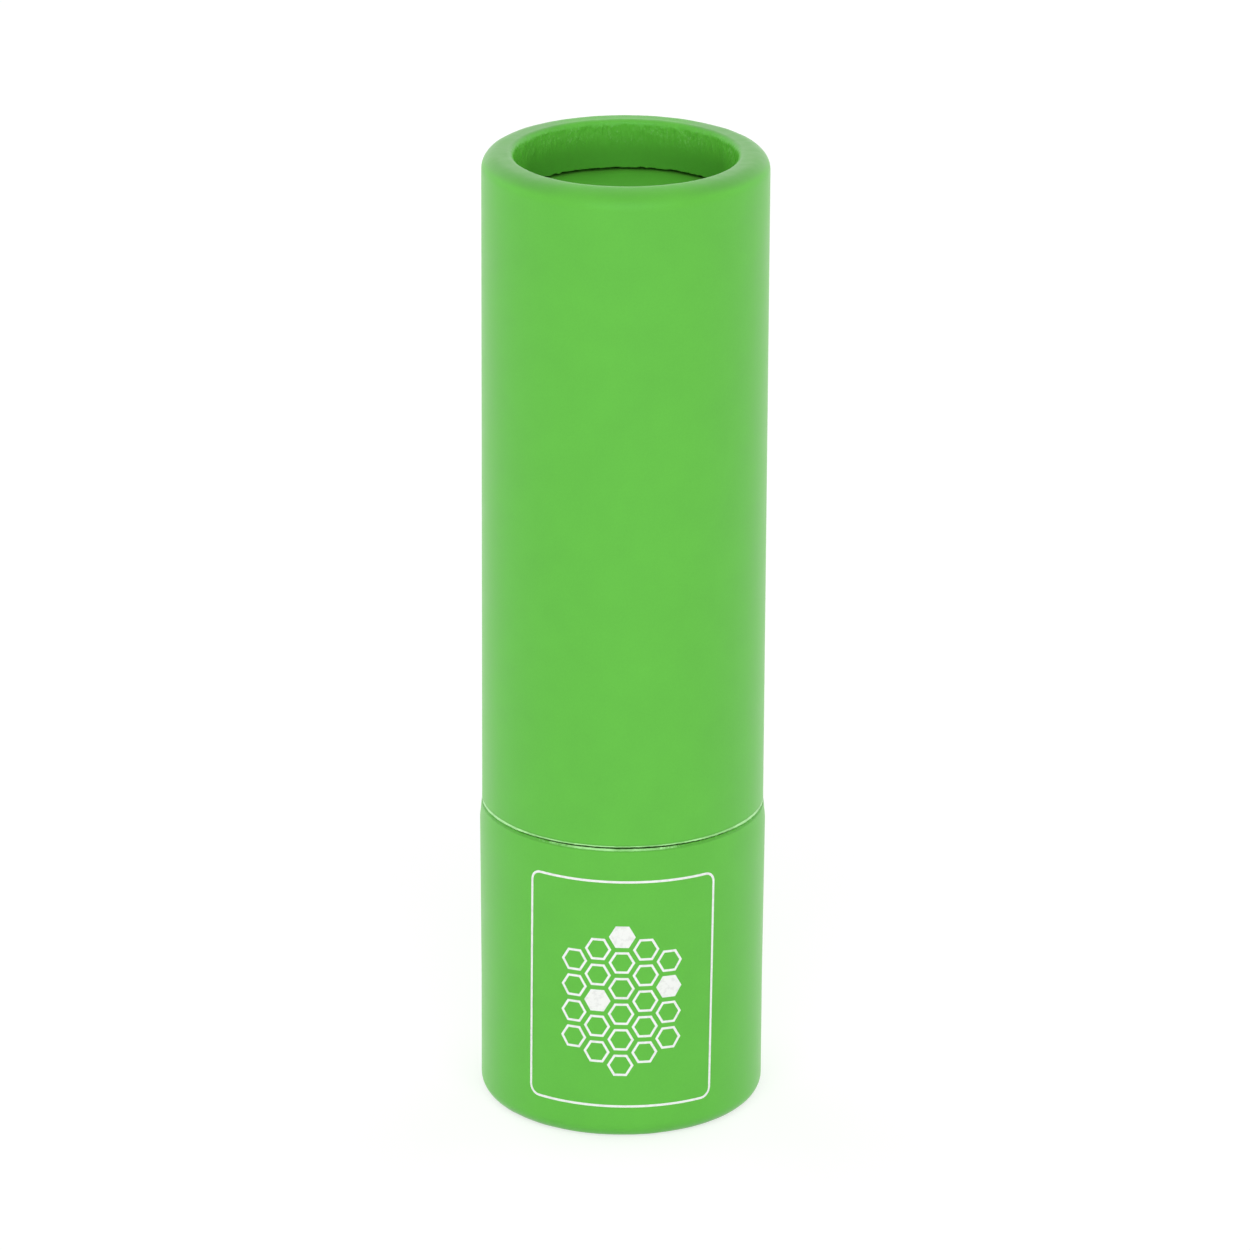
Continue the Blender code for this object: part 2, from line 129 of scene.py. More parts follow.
class BoardSettings(bpy.types.PropertyGroup):
    thickness: length("Board thickness", "Thickness of the wound board", 0.75)
    lining: length("Lining thickness", "Thickness of the inner paper", 0.15)
    bond: length("Bond", "Gap that the glue fills between two pieces", 0.10)
    grey: colour("Board", "Colour of the raw board", (0.42, 0.36, 0.27))
    white: colour("Lining", "Colour of the inner paper", (0.80, 0.79, 0.75))


class LabelSettings(bpy.types.PropertyGroup):
    width: length("Frame width", "Width of the line frame along the paper", 13.58)
    top: length("Frame top", "Height of the frame's upper line", 19.62)
    bottom: length("Frame bottom", "Height of the frame's lower line", 2.58)
    line: length("Line width", "Width of the frame's line", 0.17)
    corner: length("Corner radius", "Radius of the frame's corners", 0.8)
    cell: length("Cell size", "Distance between two cells of the honeycomb", 1.95)
    comb_height: length("Honeycomb height", "Height of the honeycomb's middle", 10.6)
    ink_height: length("Ink height", "How far the ink stands on the paper", 0.012)
    turn: angle("Turn", "Where the frame's middle lies, counted from the stick's front", math.radians(-0.1))
    lean: angle("Lean", "How far the print leans to the right", math.radians(0.6))
    columns: count("Columns", "Columns of cells in the honeycomb", 5)
    rows: count("Rows", "Cells in the middle column of the honeycomb", 6)
    ink: colour("Ink", "Colour of the printed line", (0.93, 0.94, 0.92))


class MechanismSettings(bpy.types.PropertyGroup):
    edge: length("Moulded edge", "Radius on the edges of the moulded pieces", 0.08)
    lead: length("Lead", "How far the balm climbs in one turn", 19.2)
    slot: length("Slot width", "Width of the fork's slots", 2.0)
    fork: length("Fork radius", "Outer radius of the fork's tube", 6.49)
    lug: length("Lug diameter", "Diameter of the carrier's two lugs", 1.6)
    white: colour("White plastic", "Colour of the neck, insert and cap sleeve", (0.78, 0.78, 0.76))
    natural: colour("Natural plastic", "Colour of the fork, spiral and carrier", (0.70, 0.69, 0.64))
    balm: colour("Balm", "Colour of the wax blend", (0.86, 0.78, 0.55))


class StageSettings(bpy.types.PropertyGroup):
    floor_size: length("Floor size", "Width of the floor", 6000)
    floor: colour("Floor", "Colour of the floor", (0.90, 0.90, 0.90))
    sky: FloatProperty(
        name="Sky",
        description="Light that the white surroundings give",
        default=0.29,
        min=0,
        max=1,
        subtype="FACTOR",
    )
    lamp: FloatProperty(name="Lamp", description="Power of the high lamp", default=12.6, min=0, unit="POWER")
    camera_distance: length("Camera distance", "Distance of the camera from the stick, level", 515.42)
    camera_height: length("Camera height", "Height of the camera over the floor", 224.35)
    lens: FloatProperty(
        name="Lens", description="Focal length in millimetres", default=225.34, min=1, unit="CAMERA"
    )
    tilt: angle("Camera tilt", "How far the camera looks down", 0.35204)
    pan: angle("Camera pan", "How far the camera looks to the right", 0.0002)
    roll: angle("Camera roll", "How far the camera leans to its side", 0.00518)


# Places taken from the CAD nodes


def radii_of(node):
    return [math.hypot(vertex.co.x, vertex.co.y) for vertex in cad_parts[node].data.vertices]


def radius_of(node):
    return max(radii_of(node))


def bore_of(node):
    return min(radii_of(node))


def heights_of(node):
    low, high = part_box(node)
    return low.z, high.z


# Modelling by hand

# The four corners of a wall that is cut along the stick's axis
OUTER_TOP, INNER_TOP, INNER_FOOT, OUTER_FOOT = range(4)


@contextmanager
def editing():
    """Puts the active piece in edit mode for the lines under it."""
    bpy.ops.object.mode_set(mode="EDIT")
    yield
    bpy.ops.object.mode_set(mode="OBJECT")


def select_only(piece):
    bpy.ops.object.select_all(action="DESELECT")
    piece.select_set(True)
    bpy.context.view_layer.objects.active = piece


def added(name, kind, scale=(1, 1, 1), **settings):
    """Adds one of Blender's simple meshes, with its placement applied to it."""
    bpy.ops.object.select_all(action="DESELECT")
    getattr(bpy.ops.mesh, f"primitive_{kind}_add")(**settings)
    piece = bpy.context.object
    piece.name = name
    piece.data.name = name
    piece.scale = scale
    bpy.ops.object.transform_apply(location=True, rotation=True, scale=True)
    return piece


def joined(pieces):
    select_only(pieces[0])
    for piece in pieces:
        piece.select_set(True)
    bpy.ops.object.join()
    return pieces[0]


def corner(centre, radius, start_deg, end_deg, steps=CORNER_STEPS):
    """Points of a round corner in the (radius, height) plane."""
    points = []
    for step in range(steps + 1):
        turn = math.radians(start_deg + (end_deg - start_deg) * step / steps)
        points.append((centre[0] + radius * math.cos(turn), centre[1] + radius * math.sin(turn)))
    return points


def soft(radius, height, edge, quarter, steps=2):
    """A wall's softened corner, counter-clockwise. The quarter says which corner it is."""
    out, up = ((-1, -1), (1, -1), (1, 1), (-1, 1))[quarter]
    return corner((radius + out * edge, height + up * edge), edge, 90 * quarter, 90 * quarter + 90, steps)


def between(start, end, parts):
    """Points that divide a straight run, without its two ends."""
    return [tuple(a + (b - a) * step / parts for a, b in zip(start, end)) for step in range(1, parts)]


def apply_modifier(piece, kind, **settings):
    select_only(piece)
    bpy.ops.object.modifier_add(type=kind)
    modifier = piece.modifiers[-1]
    for key, value in settings.items():
        setattr(modifier, key, value)
    bpy.ops.object.modifier_apply(modifier=modifier.name)


def tidy_mesh(piece):
    """Closes the seams of a mesh and turns its faces outwards."""
    select_only(piece)
    with editing():
        bpy.ops.mesh.select_all(action="SELECT")
        bpy.ops.mesh.remove_doubles(threshold=MERGE_DISTANCE)
        bpy.ops.mesh.normals_make_consistent(inside=False)


def turned(name, outline, steps=TURNED_STEPS, closed=True):
    """Draws an outline of (radius, height) points and turns it round the stick's axis."""
    points = outline + outline[:1] if closed else outline
    piece = added(name, "plane", size=MM, location=(points[0][0], 0, points[0][1]))
    with editing():
        bpy.ops.mesh.merge(type="CENTER")
        for (near, low), (far, high) in zip(points, points[1:]):
            bpy.ops.mesh.extrude_region_move(TRANSFORM_OT_translate={"value": (far - near, 0, high - low)})
        bpy.ops.mesh.select_all(action="SELECT")
        bpy.ops.mesh.remove_doubles(threshold=MERGE_DISTANCE)
    apply_modifier(piece, "SCREW", angle=FULL_TURN, steps=steps, render_steps=steps)
    tidy_mesh(piece)
    return piece


def combine(piece, other, operation):
    """Cuts the other piece from this one, or joins it on, and removes it."""
    height = piece.dimensions.z
    apply_modifier(piece, "BOOLEAN", operation=operation, solver="EXACT", object=other)
    bpy.data.objects.remove(other)
    bpy.context.view_layer.update()
    if piece.dimensions.z < height - MERGE_DISTANCE:
        raise RuntimeError(f"{piece.name}: part of it was lost when another piece was cut from it or joined on")


def block(name, size, centre, edge=0.0):
    """A box with softened edges."""
    piece = added(name, "cube", size, size=1, location=centre)
    if edge:
        with editing():
            bpy.ops.mesh.bevel(offset=edge, segments=2, affect="EDGES")
    return piece


def set_round(piece, copies, start=0.0):
    """Copies a piece round the stick's axis and joins the copies into it."""
    ring = []
    for index in range(copies):
        copied = piece.copy()
        copied.data = piece.data.copy()
        copied.data.transform(Matrix.Rotation(start + FULL_TURN * index / copies, 4, "Z"))
        bpy.context.scene.collection.objects.link(copied)
        ring.append(copied)
    bpy.data.objects.remove(piece)
    return joined(ring)


def reshape(piece, change):
    """Moves each vertex out and up, by what the change gives for its radius, its height and its front share.

    That share is 1 at the very front of the stick and 0 from its sides on.
    """
    for vertex in piece.data.vertices:
        radius = math.hypot(vertex.co.x, vertex.co.y)
        out, up = change(radius, vertex.co.z, max(-vertex.co.y / radius, 0))
        vertex.co = Vector((vertex.co.x, vertex.co.y, 0)) * (1 + out / radius) + Vector((0, 0, vertex.co.z + up))


def weigh(piece, name, weight):
    """A vertex group whose weight follows from a vertex's radius and height."""
    group = piece.vertex_groups.new(name=name)
    found = 0
    for vertex in piece.data.vertices:
        share = weight(math.hypot(vertex.co.x, vertex.co.y), vertex.co.z)
        if share > 0:
            group.add([vertex.index], min(share, 1), "REPLACE")
            found += 1
    if not found:
        raise RuntimeError(f"{piece.name}: no vertex lies where {name} should be")
    return group


def ruffle(piece, name, weight, across, along, strength, direction="NORMAL"):
    """Moves part of a piece in and out by soft noise, whose size across and along the stick is given."""
    group = weigh(piece, name, weight)
    bpy.ops.object.select_all(action="DESELECT")
    bpy.ops.object.empty_add()
    ruler = bpy.context.object
    ruler.scale = (across, across, along)
    bpy.context.view_layer.update()
    texture = bpy.data.textures.new(name, "CLOUDS")
    texture.noise_scale = 1
    apply_modifier(
        piece,
        "DISPLACE",
        texture=texture,
        texture_coords="OBJECT",
        texture_coords_object=ruler,
        vertex_group=group.name,
        direction=direction,
        strength=strength,
        mid_level=0.5,
    )
    piece.vertex_groups.clear()
    bpy.data.objects.remove(ruler)
    bpy.data.textures.remove(texture)


def hand_over(piece, material, body, slot, *nodes):
    """Finishes a piece: smooth shading, its material, the body it rides on and the nodes it stands for."""
    select_only(piece)
    bpy.ops.object.shade_smooth_by_angle(angle=SHARP_ANGLE)
    piece.data.materials.clear()
    piece.data.materials.append(material)
    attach(piece, body)
    if nodes:
        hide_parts(*nodes)


# Finishes. What they are given is in metres, and their nodes work in millimetres.


class Socket:
    """An output of a node. Sums and products on it add Math nodes."""

    def __init__(self, nodes, output):
        self.nodes = nodes
        self.output = output

    def math(self, operation, *others):
        return self.nodes.math(operation, self, *others)

    def __add__(self, other):
        return self.math("ADD", other)

    def __sub__(self, other):
        return self.math("SUBTRACT", other)

    def __rsub__(self, other):
        return self.nodes.math("SUBTRACT", other, self)

    def __mul__(self, other):
        return self.math("MULTIPLY", other)

    def __truediv__(self, other):
        return self.math("DIVIDE", other)

    def __rtruediv__(self, other):
        return self.nodes.math("DIVIDE", other, self)

    def __pow__(self, other):
        return self.math("POWER", other)

    def __abs__(self):
        return self.math("ABSOLUTE")

    __radd__ = __add__
    __rmul__ = __mul__


class Nodes:
    """A node tree, with one method that adds any node to it."""

    def __init__(self, tree):
        self.tree = tree

    def node(self, kind, settings=None, inputs=(), output=0):
        made = self.tree.nodes.new(kind)
        for key, value in (settings or {}).items():
            setattr(made, key, value)
        self.fill(made, inputs)
        return Socket(self, made.outputs[output])

    def fill(self, made, inputs):
        for key, value in inputs.items() if isinstance(inputs, dict) else enumerate(inputs):
            if isinstance(value, Socket):
                self.tree.links.new(value.output, made.inputs[key])
            else:
                made.inputs[key].default_value = value

    def math(self, operation, *values):
        return self.node("ShaderNodeMath", {"operation": operation}, values)

    def rays(self):
        """Above 0 for rays that see the surroundings as white: from the camera, a gloss or a clear piece."""
        rays = ("Camera", "Glossy", "Transmission")
        seen, glossy, through = (self.node("ShaderNodeLightPath", output=f"Is {ray} Ray") for ray in rays)
        return seen + glossy + through


class Finish(Nodes):
    """A material, with the shapes of noise and blends that the finishes share."""

    def __init__(self, name, **constants):
        self.material = bpy.data.materials.new(name)
        self.material.use_nodes = True
        super().__init__(self.material.node_tree)
        self.shader = self.tree.nodes["Principled BSDF"]
        for key, value in constants.items():
            self.shader.inputs[key.replace("_", " ")].default_value = value

    def place(self):
        """The point on the piece, its three coordinates and its distance from the stick's axis."""
        point = self.stretched(self.node("ShaderNodeTexCoord", output="Object"), (1 / MM,) * 3)
        x, y, z = (self.node("ShaderNodeSeparateXYZ", None, (point,), axis) for axis in range(3))
        return point, x, y, z, (x * x + y * y) ** 0.5

    def stretched(self, vector, factors):
        return self.node("ShaderNodeVectorMath", {"operation": "MULTIPLY"}, (vector, factors))

    def noise(self, vector, grain, detail=2.0, rough=0.5):
        inputs = {"Vector": vector, "Scale": 1 / grain, "Detail": detail, "Roughness": rough}
        return self.node("ShaderNodeTexNoise", None, inputs)

    def step(self, value, low, high):
        """Rises softly from 0 to 1 between two values, or falls where the first is the larger."""
        inputs = {"Value": value, "From Min": low, "From Max": high, "To Min": 0.0, "To Max": 1.0}
        return self.node("ShaderNodeMapRange", {"interpolation_type": "SMOOTHSTEP"}, inputs)

    def blend(self, factor, first, second):
        inputs = {0: factor, 6: solid(first), 7: solid(second)}
        return self.node("ShaderNodeMix", {"data_type": "RGBA"}, inputs, 2)

    def surface(self, base, roughness, height):
        bump = self.node("ShaderNodeBump", None, {"Strength": 1.0, "Distance": MM, "Height": height})
        self.fill(self.shader, {"Base Color": base, "Roughness": roughness, "Normal": bump})
        return self.material


def solid(value):
    """A colour with its alpha, or a socket as it is."""
    return value if isinstance(value, Socket) else (*value, 1.0)


def shaded(value, share):
    """The same colour, lighter or darker by a share."""
    return tuple(min(channel * (1 + share), 1) for channel in value)


def printed_paper(name, paper, fold=None, cut=None, side=1, worn=None, shade_radius=None):
    """Matt printed paper, creased and with painted shade where it is folded in, and pale where it is cut.

    The fold is the height of the rim's crest and the radius of its opening, and the cut is a height. The side
    is 1 where the rim is above the cut, and -1 where it is below. Where a worn radius is given, the cut is
    pale right out to its edge only at the front, and else within that radius. Towards the given shade radius
    the paper gets painted shade, a little darker, as beside the wall of a recess.
    """
    finish = Finish(name, IOR=1.55, Coat_Roughness=0.3, Specular_Tint=(0.4, 1.0, 0.6, 1.0))
    place = finish.place()
    point, _, _, z, radius = place
    fibres = finish.noise(point, 0.11, 4.0, 0.6)
    blotches = finish.noise(point, 2.6, 3.0)
    shade = (fibres - 0.5) * 0.9 + (blotches - 0.5) * 0.8 + 0.5
    base = finish.blend(shade, shaded(paper.green, -0.07), shaded(paper.green, 0.07))
    roughness = (blotches - 0.5) * 0.12 + (fibres - 0.5) * 0.10 + 0.36
    height = fibres * 0.0035 + blotches * 0.01
    if shade_radius is not None:
        # Painted shade: darker green towards the disc's edge, where the rim's wall around it would shade it.
        rim_shade = finish.step(radius, shade_radius * 0.6 / MM, shade_radius / MM)
        base = finish.blend(rim_shade * 0.3, base, shaded(paper.green, -0.45))
    if fold is not None:
        crest, opening = fold
        below = (crest / MM - z) * side
        base, creases = folded_in(finish, paper, place, below, opening / MM, base)
        height = height + creases
    if cut is not None:
        depth = (z - cut / MM) * side
        base = cut_edge(finish, paper, place, depth, worn, base)
    return finish.surface(base, roughness, height)


def folded_in(finish, paper, place, below, opening, base):
    """The rim's colour and crease height: glossy lip, worn crest, painted shade inside and on the crest's sides.
    """
    point, x, y, z, radius = place
    shadow = shaded(paper.green, -0.45)
    to_side = abs(x / radius)
    at_sides = finish.step(to_side, 0.86, 0.94)
    inside = finish.step(radius, opening + 0.75, opening + 0.35)
    # Painted shade: darker green down the inside of the rim, and less of it towards the sides.
    base = finish.blend(finish.step(below, 0, 2.6) * inside * (0.8 - at_sides * 0.4), base, shadow)
    on_crest = finish.step(below, 0.75, 0.3) * finish.step(radius, opening, opening + 0.3)
    # Painted shade: the crest is darker green towards its sides; the same mask makes it glossier there with
    # coat, as worn.
    rubbed_and_shaded = finish.step(to_side, 0.35, 0.75)
    base = finish.blend(on_crest * rubbed_and_shaded * 0.45, base, shadow)
    lip = finish.step(radius, opening + 0.10, opening + 0.25) * finish.step(below, 0.4, 0.2)
    lip = lip * finish.step(radius, opening + 0.60, opening + 0.35)
    finish.fill(finish.shader, {"Coat Weight": on_crest * rubbed_and_shaded * 0.4 + lip * (0.5 - rubbed_and_shaded * 0.4)})
    creased = inside * finish.step(below, 0.1, 0.5) * finish.step(below, 2.1, 1.1)
    grains = finish.noise(finish.stretched(point, (1, 1, 0.7)), 0.17, 3.0, 0.7)
    patches = finish.step(finish.noise(point, 1.8, 2.0), 0.40, 0.60)
    waves = ((y + z * 0.8) / 0.075).math("SINE")
    creases = creased * (grains * (patches * 0.6 + 0.4) * 0.05 + at_sides * waves * 0.012)
    base = finish.blend(creased * patches * finish.step(grains, 0.52, 0.68) * 0.22, base, paper.core)
    return base, creases


def cut_edge(finish, paper, place, depth, worn, base):
    """The colour near the cut: pale with soft breaks at its edge, and a band of painted shade behind that."""
    point, x, y, _, radius = place
    scuffs = finish.noise(finish.stretched(point, (1, 1, 0.35)), 0.25, 5.0, 0.7)
    depth = depth + (scuffs - 0.5) * 0.08
    if worn is None:
        depth = depth - finish.step(y / radius, -1.0, -0.5) * 0.08
    patchy = finish.step(finish.noise(point, 1.5, 2.0), 0.38, 0.58)
    pale = finish.step(depth, 0.14, 0.07) * (patchy * 0.4 + 0.6)
    if worn is not None:
        facing = (x * -0.08 - y) / radius
        within = finish.step(radius, worn / MM, worn / MM - 0.06) * finish.step(facing, 0.75, 0.60)
        pale = pale * (finish.step(facing + (scuffs - 0.5) * 0.3, 0.86, 0.98) + within)
    # Painted shade: a darker green band just behind the pale cut edge.
    base = finish.blend(finish.step(depth, 0.25, 0.12) * 0.35, base, shaded(paper.green, -0.6))
    return finish.blend(pale, base, paper.core)


def raw_board(name, board, seam_ink_and_shade=None, seam=0.0, outer=0.0):
    """Grey wound board, thin plies and short fibres. Its edge at the seam's front has run ink, painted dark as
    shade.
    """
    finish = Finish(name, IOR=1.45)
    point, _, y, z, radius = finish.place()
    plies = finish.step((radius / 0.12).math("PINGPONG", 1.0), 0.15, 0.85)
    fibres = finish.noise(finish.stretched(point, (1, 1, 0.3)), 0.16, 5.0, 0.65)
    flecks = finish.step(finish.noise(point, 0.09, 2.0), 0.66, 0.74)
    shade = (fibres - 0.5) * 1.6 + plies * 0.25 + 0.35
    base = finish.blend(shade, shaded(board.grey, -0.3), shaded(board.grey, 0.25))
    base = finish.blend(flecks * 0.5, base, shaded(board.grey, -0.6))
    if seam_ink_and_shade is not None:
        # The ink's green on the board's edge at the seam's front is darkened as painted shade in the seam's gap.
        near = finish.step(abs(z - seam / MM), 0.4, 0.3)
        run = finish.step(radius + (fibres - 0.5) * 0.3, outer / MM - 0.40, outer / MM - 0.34)
        base = finish.blend(near * run * finish.step(y / radius, -0.5, -0.8), base, seam_ink_and_shade)
    return finish.surface(base, 0.86 + (fibres - 0.5) * 0.12, fibres * 0.02 + plies * 0.008)


def plain_paper(name, tint):
    """Uncoated white paper with soft fibres."""
    finish = Finish(name, IOR=1.45)
    point = finish.place()[0]
    fibres = finish.noise(point, 0.14, 5.0, 0.65)
    base = finish.blend(finish.noise(point, 1.4, 3.0), shaded(tint, -0.05), shaded(tint, 0.03))
    return finish.surface(base, 0.78 + (fibres - 0.5) * 0.15, fibres * 0.012)


def ink(name, tint):
    """White ink, laid a little unevenly over the paper's fibres."""
    finish = Finish(name, IOR=1.5)
    point = finish.place()[0]
    fibres = finish.noise(point, 0.08, 3.0)
    thin = finish.step(finish.noise(point, 0.35, 4.0, 0.6), 0.36, 0.52)
    base = finish.blend(thin, shaded(tint, -0.10), tint)
    return finish.surface(base, 0.42 + (fibres - 0.5) * 0.12, fibres * 0.003)


def moulded_plastic(name, tint, roughness, subsurface):
    """Moulded plastic with a fine satin grain and faint flow marks along the stick."""
    finish = Finish(name, IOR=1.5, Subsurface_Weight=subsurface, Subsurface_Scale=0.6 * MM)
    point = finish.place()[0]
    grain = finish.noise(point, 0.06, 2.0)
    flow = finish.noise(finish.stretched(point, (1, 1, 0.12)), 0.9, 3.0)
    rubs = finish.step(finish.noise(finish.stretched(point, (1, 1, 6.0)), 0.5, 4.0, 0.7), 0.62, 0.78)
    base = finish.blend(flow, shaded(tint, -0.035), shaded(tint, 0.02))
    gloss = roughness + (flow - 0.5) * 0.12 + rubs * 0.10
    return finish.surface(base, gloss, grain * 0.0012 + flow * 0.012)


def wax(name, tint):
    """Cast wax: milky, with a slight bloom, soft ripples and a few pits."""
    finish = Finish(
        name, IOR=1.44, Subsurface_Weight=0.55, Subsurface_Scale=1.4 * MM, Subsurface_Radius=(1.0, 0.75, 0.45)
    )
    point = finish.place()[0]
    bloom = finish.noise(point, 0.9, 4.0, 0.6)
    ripples = finish.noise(finish.stretched(point, (1, 1, 0.5)), 2.2, 2.0)
    pits = finish.step(finish.noise(point, 0.22, 1.0), 0.74, 0.80)
    base = finish.blend(bloom, shaded(tint, -0.06), shaded(tint, 0.05))
    return finish.surface(base, 0.36 + (bloom - 0.5) * 0.25, ripples * 0.05 + bloom * 0.008 - pits * 0.02)


# Outlines


def rim_face(outer, inner, edge, fold_end, open_end, outer_round, inner_round, steps=CORNER_STEPS, rows=3):
    """One face of a folded rim: from the tube's open end, over its edge, to the end of the fold."""
    points = [(outer, open_end)]
    points += between(points[-1], (outer, edge - outer_round), rows)
    points += soft(outer, edge, outer_round, OUTER_TOP, steps)
    points += between(points[-1], (inner + inner_round, edge), 4)
    points += soft(inner, edge, inner_round, INNER_TOP, steps)
    points += between(points[-1], (inner, fold_end), rows)
    points.append((inner, fold_end))
    return points


def paper_outline(radius, edge, open_end, outer_round, land, bevel, paper):
    """The printed paper over a rim whose edge is at the given height. The cut edge is bevelled."""
    fold_end = edge - paper.rim_depth
    opening = radius - paper.rim_width
    inner_round = paper.rim_width - land - outer_round
    skin = paper.thickness
    cut = open_end - paper.edge_reach
    rounds = outer_round, inner_round
    outside = rim_face(radius, opening, edge, fold_end, open_end + 0.3 * MM, *rounds, steps=RIM_STEPS, rows=20)
    near_cut = [(radius - bevel, cut), (radius, cut + bevel)]
    near_cut += [(radius, cut + 2 * bevel), (radius, open_end + 2 * bevel)]
    rounds = outer_round - skin, inner_round - skin
    inside = rim_face(radius - skin, opening + skin, edge - skin, fold_end, cut, *rounds)
    return near_cut + outside + inside[::-1]


def board_outline(radius, edge, open_end, outer_round, land, paper, board):
    """The board tube, whose end is folded back on itself with a thin slit between the plies."""
    skin = paper.thickness + board.bond
    outer = radius - skin
    fold_end = edge - paper.rim_depth
    fold_face = radius - paper.rim_width + skin
    rounds = outer_round - skin, paper.rim_width - land - outer_round - skin
    points = rim_face(outer, fold_face, edge - skin, fold_end, open_end, *rounds)
    slit_end = edge - skin - board.thickness
    points += [(fold_face + board.thickness, fold_end), (fold_face + board.thickness, slit_end)]
    points += [(outer - board.thickness, slit_end), (outer - board.thickness, open_end)]
    return points


def flipped(outline):
    """The same outline with its rim at the foot."""
    return [(radius, -height) for radius, height in outline]


def tube_outline(outer, inner, low, high, edge):
    """A plain wall with softened edges."""
    corners = (outer, low), (outer, high), (inner, high), (inner, low)
    quarters = OUTER_FOOT, OUTER_TOP, INNER_TOP, INNER_FOOT
    return [point for place, quarter in zip(corners, quarters) for point in soft(*place, edge, quarter)]


def disc_outline(radius, low, high, edge, rings):
    """A solid disc with softened edges, ringed so that its faces can be shaped."""
    under = [(0, low)] + between((0, low), (radius - edge, low), rings)
    over = between((radius - edge, high), (0, high), rings) + [(0, high)]
    return under + soft(radius, low, edge, OUTER_FOOT) + soft(radius, high, edge, OUTER_TOP) + over


# Shaping of the printed paper


def hump(value, start, full, fade, end):
    """Rises from 0 at start to 1 at full, stays, then falls from fade to 0 at end."""
    if value <= start or value >= end:
        return 0
    if value < full:
        return (value - start) / (full - start)
    if value > fade:
        return (end - value) / (end - fade)
    return 1


def crumple_rim(piece, radius, edge, cut, paper):
    """The small folds that the paper makes where it is turned in over the rim, and its rough cut."""
    sign = 1 if edge > cut else -1
    skin = paper.thickness / MM
    fold = paper.rim_depth / MM
    hidden = radius - paper.rim_width + paper.thickness / 2
    lip_end = radius - 0.8 * MM

    def depth(z):
        return (edge - z) * sign / MM

    def on_lip(r, z):
        shown = r < hidden or depth(z) < skin * 0.6
        return hump(depth(z), 0.02, 0.4, 1.1, 2.0) if shown and r < lip_end else 0

    def on_crest(r, z):
        return hump(depth(z), -1, 0, 0.3, 0.9)

    def on_fold(r, z):
        return hump(depth(z), fold - 0.3, fold - 0.001, 1, 9)

    def on_cut(r, z):
        return hump((z - cut) * sign / MM, -1, 0, 0.05, 0.3)

    for name, weight, across, along, strength, direction in (
        ("lip_folds", on_lip, 0.2, 0.4, paper.pucker / MM, "NORMAL"),
        ("lip_waves", on_lip, 0.8, 1.2, paper.pucker / MM, "NORMAL"),
        ("crest_waves", on_crest, 1.6, 1.6, 0.05, "Z"),
        ("fold_end", on_fold, 0.45, 0.45, 0.30, "Z"),
        ("cut_burr", on_cut, 0.22, 0.22, 0.05, "NORMAL"),
        ("cut_line", on_cut, 0.7, 0.7, 0.03, "Z"),
        ("cut_sweep", on_cut, 3.0, 3.0, 0.05, "Z"),
    ):
        ruffle(piece, name, weight, across * MM, along * MM, strength * MM, direction)


def tuck_mouth(piece, cut, paper):
    """Draws the base's mouth in towards the cap, except at the front."""
    reach = 1.2 * MM

    def change(radius, z, front):
        depth = min(max((cut - z) / reach, 0), 1)
        share = 1 - depth * depth * (3 - 2 * depth)
        return -paper.tuck * share * (1 - front**4), 0

    reshape(piece, change)


def sink_edge(piece, cut, sink):
    """Lets a cut edge lie lower at the sides and back."""
    reach = 0.3 * MM

    def change(radius, z, front):
        share = max(1 - abs(z - cut) / reach, 0)
        return 0, -sink * share * (1 - front**4)

    reshape(piece, change)


def arc_drop(offset, width, height):
    """How far an elliptic quarter arc has fallen at an offset from its crest."""
    share = min(max(offset / width, 0), 1)
    return height * (1 - math.sqrt(1 - share * share))


def roll_lip(piece, outer, crest, paper):
    """Lets the top rim fall off outwards right from its lip at the front, as one wide arc."""
    start = outer - paper.rim_width + 0.35 * MM
    reach = 4 * MM

    def change(radius, z, front):
        share = max(1 - (crest - z) / reach, 0)
        wide = arc_drop(radius - start, outer - start, paper.top_round + paper.lip_dip)
        narrow = arc_drop(radius - outer + paper.top_round, paper.top_round, paper.top_round)
        return 0, -(wide - narrow) * share * front**2

    reshape(piece, change)


def flare_base(piece, paper):
    """Widens the base a little towards its mouth, as far as the neck has stretched it."""
    low, high = heights_of("base_wrap")
    start = low + 0.4 * (high - low)
    reshape(piece, lambda radius, z, front: (paper.flare * min(max((z - start) / (high - start), 0), 1), 0))


# Pieces


class StickOperator(bpy.types.Operator):
    """Shared by the operators that model one piece or one group of like pieces"""

    bl_options = {"REGISTER", "UNDO"}


class STICK_OT_cap_paper(StickOperator):
    """The printed paper of the cap, folded in over its top rim"""

    bl_idname = "stick.cap_paper"
    bl_label = "Cap Paper"

    def execute(self, context):
        paper = context.scene.stick_paper
        radius = radius_of("cap_wrap")
        low, high = heights_of("cap_wrap")
        cut = low - paper.edge_reach
        outline = paper_outline(radius, high, low, paper.top_round, paper.top_land, paper.cap_bevel, paper)
        piece = turned("cap_paper", outline, PAPER_STEPS)
        crumple_rim(piece, radius, high, cut, paper)
        sink_edge(piece, cut, paper.sink + paper.closing)
        roll_lip(piece, radius, high, paper)
        finish = printed_paper("cap printed paper", paper, (high, radius - paper.rim_width), cut)
        hand_over(piece, finish, "cap", "green_paper", "cap_wrap")
        return {"FINISHED"}


